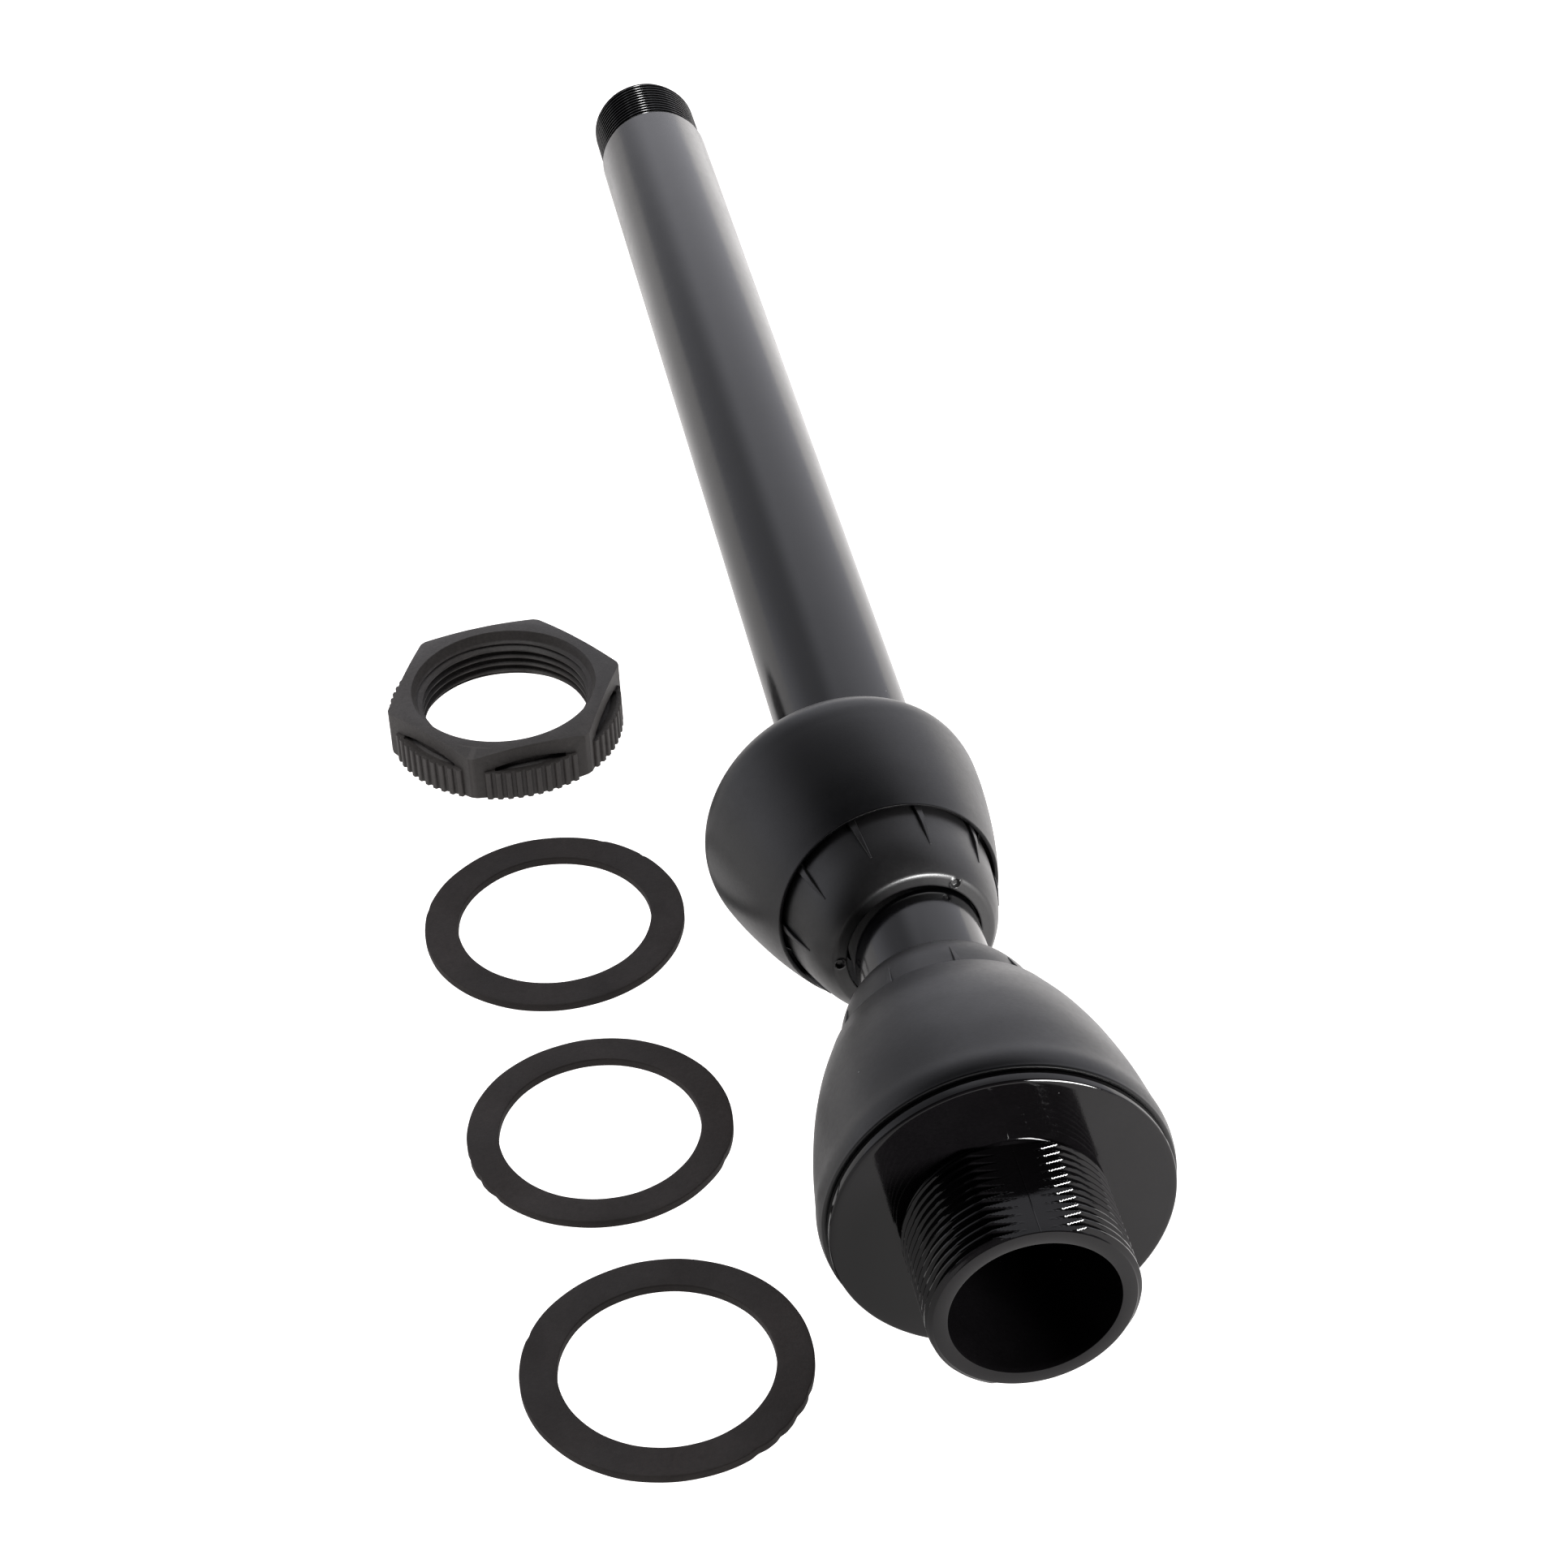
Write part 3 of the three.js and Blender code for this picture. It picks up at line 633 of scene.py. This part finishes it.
tip_outline = [
    (11.3, TUBE_END - 26), (12.8, TUBE_END - 26), (12.8, TUBE_END + 0.1),
    (13.5, TUBE_END + 0.15), *marks(TUBE_END + 0.3, RISER_LEN - 0.05, TIP_PITCH / 14),
    (13.35, RISER_LEN), (11.7, RISER_LEN), (11.4, RISER_LEN - 0.1), (11.3, RISER_LEN - 0.4)]
make("tip_thread", lathe(tip_outline, 220, threaded(tip_radius)), RISER, "riser", TIP_GLOSS,
     "tip_thread_nipple", 24)

# ------------------------------------------------------------------ locknut
NUT_AT = np.array([-70.4, 224.5, FLOOR])
NUT_TURN = math.radians(6.5)
NUT = (np.array([[math.cos(NUT_TURN), -math.sin(NUT_TURN), 0],
                 [math.sin(NUT_TURN), math.cos(NUT_TURN), 0], [0, 0, 1.0]]), NUT_AT)
NUT_Y = (NUT[0] @ Y_TO_Z, NUT_AT)       # for pieces turned about +Y
NUT_HEIGHT = 13.0
NUT_FLAT, NUT_CORNER = 24.9, 28.35      # distances of flats and corners from the axis
TEETH = 72


def hex_outline():
    spread = math.pi / 6 - math.acos(NUT_FLAT / NUT_CORNER)     # half width of a round corner
    points = []
    for k in range(6):
        for q in np.linspace(-spread, spread, 9):
            angle = k * TAU / 6 + q
            points.append((NUT_CORNER * math.cos(angle), NUT_CORNER * math.sin(angle)))
    return fillet(points, 0.9, 3)


def teeth_outline():
    """Ring of teeth that shows on the flats and sinks inside the nut near the corners."""
    points = []
    for i in range(TEETH):
        for f in np.linspace(-0.5, 0.5, 12, endpoint=False):
            angle = (i + 0.5 + f) * TAU / TEETH + math.pi / 6
            bump = np.clip((0.36 - abs(f)) / 0.16, 0, 1)
            radius = 27.28 + 0.62 * float(bump * bump * (3 - 2 * bump))
            if abs((angle % (TAU / 6)) - math.pi / 6) > 0.425:
                radius = 24.4
            points.append((radius * math.cos(angle), radius * math.sin(angle)))
    return points


def tooth_hollow(middle):
    """Hollow over the inner side of one run of teeth, centred on the angle middle."""
    profile = [(24.5, 9.6), (25.4, 9.0), (26.75, 8.1), (26.75, 7.3), (25.2, 7.2), (24.5, 7.6)]
    verts = [(r * math.cos(middle + q), r * math.sin(middle + q), z)
             for q in np.linspace(-0.335, 0.335, 25) for r, z in profile]
    return loft(verts, [5, 4, 3, 2, 1, 0])


def nut_hole_radius(y, angle):
    radius = 19.75 + 1.35 * thread_rise(y - 2.1, angle, PITCH, 0.08, 0.42)
    radius = np.maximum(radius, 19.75 + 1.55 * np.clip((y - 9.6) / 1.3, 0, 1))
    return np.maximum(radius, 19.75 + 1.5 * np.clip((1.9 - y) / 1.0, 0, 1))


def locknut():
    nut = raw_mesh("hex_locknut", prism(hex_outline(), 0.0, NUT_HEIGHT), NUT)
    # (radius, height) of the turned shape that chamfers the corners
    chamfer = [(25.0, -1.0), (26.2, -0.2), (29.0, 0.9), (31.0, 2.0), (31.0, 11.5),
               (25.0, 13.0), (24.8, 13.05)]
    cut(nut, [raw_mesh("nut_chamfer", lathe(chamfer, 192, caps=True), NUT_Y)], "INTERSECT")
    cut(nut, [raw_mesh("nut_teeth", prism(teeth_outline(), 0.12, 7.8), NUT)], "UNION")
    hollows = [raw_mesh(f"nut_hollow_{k}", tooth_hollow(math.pi / 6 + k * TAU / 6), NUT)
               for k in range(6)]
    cut(nut, hollows, "DIFFERENCE")
    hole = [(22.6, -1.0), (22.3, 0.0), (21.2, 0.85), *marks(0.95, 11.1, PITCH / 12),
            (21.4, 11.3), (21.55, 11.8), (21.85, 12.5), (22.15, 13.05), (22.9, 14.0)]
    hole_part = lathe(hole, 200, threaded(nut_hole_radius), caps=True)
    cut(nut, [raw_mesh("nut_hole", hole_part, NUT_Y)], "DIFFERENCE")
    piece(nut, "nut", CHARCOAL, "locknut", 30)


locknut()


# ------------------------------------------------------------------ flat washers
def washer(tag, x, y, outer, inner, nicks, seed):
    """Slightly wavy washer. nicks in its edge are (angle, half width in degrees, depth)."""
    phase = np.random.default_rng(seed).uniform(0, TAU, 8)

    def uneven(r, y, angle):
        wobble = (0.05 * np.sin(3 * angle + phase[0]) + 0.035 * np.sin(7 * angle + phase[1])
                  + 0.02 * np.sin(17 * angle + phase[2]))
        chips = np.zeros_like(angle)
        for degrees, width, depth in nicks:
            away = np.abs(wrap(angle - math.radians(degrees)))
            chips += depth * np.clip(1 - away / math.radians(width), 0, 1)
        r = r + np.where(r > (outer + inner) / 2, wobble - chips, 0.6 * wobble)
        lift = 0.03 * np.sin(2 * angle + phase[3])
        return np.minimum(r, outer + 0.02), y + np.where(y > 1.0, lift - 0.03, 0)

    across = np.linspace(inner + 1.5, outer - 1.5, 4)
    back = np.linspace(outer - 1.5, inner + 1.5, 4)
    outline = [
        (inner, 0.0), (inner + 0.1, 0.0), *((r, 0.0) for r in across),
        (outer - 0.12, 0.0), (outer - 0.03, 0.1), (outer, 0.5), (outer, 1.6),
        (outer - 0.05, 1.85), (outer - 0.2, 1.97), (outer - 0.4, 2.0),
        *((r, 2.0) for r in back),
        (inner + 0.35, 2.0), (inner + 0.15, 1.96), (inner + 0.03, 1.82), (inner, 1.6),
        (inner, 0.4)]
    make(f"washer_{tag}_rubber", lathe(outline, 288, uneven),
         (Y_TO_Z, np.array([x, y, FLOOR])), f"washer_{tag}", WASHER_RUBBER,
         f"flat_washer_{tag}", 34)


washer("a", -69.6, 148.8, outer=29.4, inner=21.8, seed=3,
       nicks=[(-38, 2.0, 0.25), (-60, 3.0, 0.2), (200, 4.0, 0.15)])
washer("b", -69.7, 78.55, outer=28.35, inner=21.5, seed=5,
       nicks=[(150, 4.0, 0.3), (162, 3.0, 0.35), (176, 3.5, 0.25), (30, 5.0, 0.2)])
washer("c", -66.9, 7.95, outer=29.4, inner=21.8, seed=7,
       nicks=[(62, 4.0, 0.35), (50, 3.0, 0.3), (38, 4.0, 0.35), (26, 3.0, 0.25),
              (208, 3.0, 0.2)])

# ------------------------------------------------------------------ floor (metres from here on)
FLOOR_HALF, FLOOR_Z = 6, -0.00005
FLOOR_GLOW = 1.6


def floor_material():
    """Pale glowing floor. The light it gives the pieces is dimmer towards -X."""
    material = bpy.data.materials.new("pale_floor")
    nodes = Nodes(material)
    position = nodes.new("NewGeometry", {}).outputs["Position"]
    x = nodes.new("SeparateXYZ", {0: position}).outputs[0]
    bounced = nodes.span(x, (-0.02, 0.09), (0.72, FLOOR_GLOW))
    seen = nodes.new("LightPath", {}).outputs["Is Camera Ray"]
    glow = nodes.math("MAXIMUM", bounced, nodes.math("MULTIPLY", seen, FLOOR_GLOW))
    diffuse = nodes.new("BsdfDiffuse", {"Color": (0.45, 0.45, 0.45, 1)})
    emission = nodes.new("Emission", {"Color": (1, 0.975, 0.965, 1), "Strength": FLOOR_GLOW})
    nodes.tree.links.new(glow, emission.inputs["Strength"])
    both = nodes.new("AddShader", {0: diffuse.outputs[0], 1: emission.outputs[0]})
    nodes.new("OutputMaterial", {0: both.outputs[0]})
    return material


floor_mesh = bpy.data.meshes.new("floor")
floor_mesh.from_pydata([(x * FLOOR_HALF, y * FLOOR_HALF, FLOOR_Z)
                        for x, y in ((-1, -1), (1, -1), (1, 1), (-1, 1))], [], [[0, 1, 2, 3]])
floor = bpy.data.objects.new("floor", floor_mesh)
bpy.context.scene.collection.objects.link(floor)
floor_mesh.materials.append(floor_material())


# ------------------------------------------------------------------ studio world
def studio_world():
    """Cool sky, dark around the camera and overhead, with a dimmer upright band at x = -0.42."""
    world = bpy.data.worlds.new("studio")
    bpy.context.scene.world = world
    nodes = Nodes(world)
    ray = nodes.new("TexCoord", {}).outputs["Generated"]

    def toward(direction, cosines, values):
        """Runs between two values as the angle to direction closes, by the cosine."""
        unit = np.array(direction, float)
        unit /= np.linalg.norm(unit)
        dot = nodes.new("VectorMath", {0: ray, 1: tuple(unit)}, operation="DOT_PRODUCT")
        return nodes.span(dot.outputs["Value"], cosines, values, "SMOOTHSTEP")

    camera_side = toward((-0.12, -0.777, 0.618), cosines=(-0.15, 0.62), values=(1.0, 0.05))
    overhead = toward((0, 0, 1), cosines=(0.58, 0.90), values=(1.0, 0.12))
    x = nodes.new("SeparateXYZ", {0: ray}).outputs[0]
    from_band = nodes.math("ABSOLUTE", nodes.math("SUBTRACT", x, -0.42))
    gap = nodes.span(from_band, (0.08, 0.40), (0.45, 1.0), "SMOOTHSTEP")
    strength = nodes.math("MULTIPLY", camera_side, overhead)
    strength = nodes.math("MULTIPLY", strength, gap)
    strength = nodes.math("MULTIPLY", strength, 1.2)        # overall sky brightness
    sky = nodes.new("Background", {"Color": (0.93, 0.93, 1.0, 1), "Strength": strength})
    nodes.new("OutputWorld", {0: sky.outputs[0]})


studio_world()


# ------------------------------------------------------------------ lights
def axes_matrix(x_axis, y_axis, z_axis, origin):
    matrix = np.eye(4)
    matrix[:3] = np.column_stack([x_axis, y_axis, z_axis, origin])
    return Matrix(matrix.tolist())


def softbox(name, direction, distance, size, power, aim, group, receivers):
    """Area light that looks at aim from direction and lights only the receivers."""
    unit = np.array(direction, float)
    unit /= np.linalg.norm(unit)
    light = bpy.data.lights.new(name, "AREA")
    light.shape, light.energy = "RECTANGLE", power
    light.size, light.size_y = size
    obj = bpy.data.objects.new(name, light)
    bpy.context.scene.collection.objects.link(obj)
    x_axis = np.cross((0, 1, 0) if abs(unit[2]) > 0.9 else (0, 0, 1), unit)
    x_axis /= np.linalg.norm(x_axis)
    obj.matrix_world = axes_matrix(x_axis, np.cross(unit, x_axis), unit,
                                   np.array(aim) + unit * distance)
    collection = bpy.data.collections.new(group)
    for receiver in receivers:
        collection.objects.link(bpy.data.objects[receiver])
    obj.light_linking.receiver_collection = collection


# Front is -Y, the camera's side.
softbox("front_right", direction=(0.50, -0.84, 0.20), distance=1.2, size=(0.50, 0.28),
        power=50.0, aim=(0.03, -0.24, 0.05), group="threads",
        receivers=("stub_and_flange", "tip_thread", "upper_ribbed_cone", "lower_ribbed_cone"))
softbox("overhead_strip", direction=(0.02, 0.882, 0.467), distance=1.3, size=(0.11, 0.5),
        power=5.0, aim=(0.037, 0.25, 0.015), group="rings", receivers=("tip_thread",))
softbox("table_fill", direction=(-0.25, -0.15, 1.0), distance=1.0, size=(0.5, 0.5),
        power=4.6, aim=(-0.04, 0.0, 0.0), group="loose_parts",
        receivers=("hex_locknut", "washer_a_rubber", "washer_b_rubber", "washer_c_rubber"))
softbox("front_low", direction=(0.0, -0.9, 0.42), distance=1.5, size=(1.1, 0.45),
        power=1.9, aim=(0.03, 0.0, 0.03), group="covers",
        receivers=("lower_bell_cover", "upper_bell_cover", "long_tube", "link_pipe",
                   "tip_thread"))

# ------------------------------------------------------------------ camera
CAMERA_AT = (-0.08910, -0.75770, 0.56992)
HEADING_X, HEADING_Y = 0.15339, 0.98817     # level direction of view
TILT, ROLL = math.radians(38.20), math.radians(2.985)

forward = np.array([HEADING_X * math.cos(TILT), HEADING_Y * math.cos(TILT), -math.sin(TILT)])
right = np.array([HEADING_Y, -HEADING_X, 0.0])
down = np.array([-HEADING_X * math.sin(TILT), -HEADING_Y * math.sin(TILT), -math.cos(TILT)])
rolled_right = math.cos(ROLL) * right + math.sin(ROLL) * down
rolled_down = -math.sin(ROLL) * right + math.cos(ROLL) * down

lens = bpy.data.cameras.new("camera")
lens.lens, lens.sensor_width = 89.72, 36.0
lens.clip_start, lens.clip_end = 0.01, 50.0
camera = bpy.data.objects.new("camera", lens)
bpy.context.scene.collection.objects.link(camera)
camera.matrix_world = axes_matrix(rolled_right, -rolled_down, -forward, CAMERA_AT)
bpy.context.scene.camera = camera
bpy.context.scene.view_settings.view_transform = "Standard"
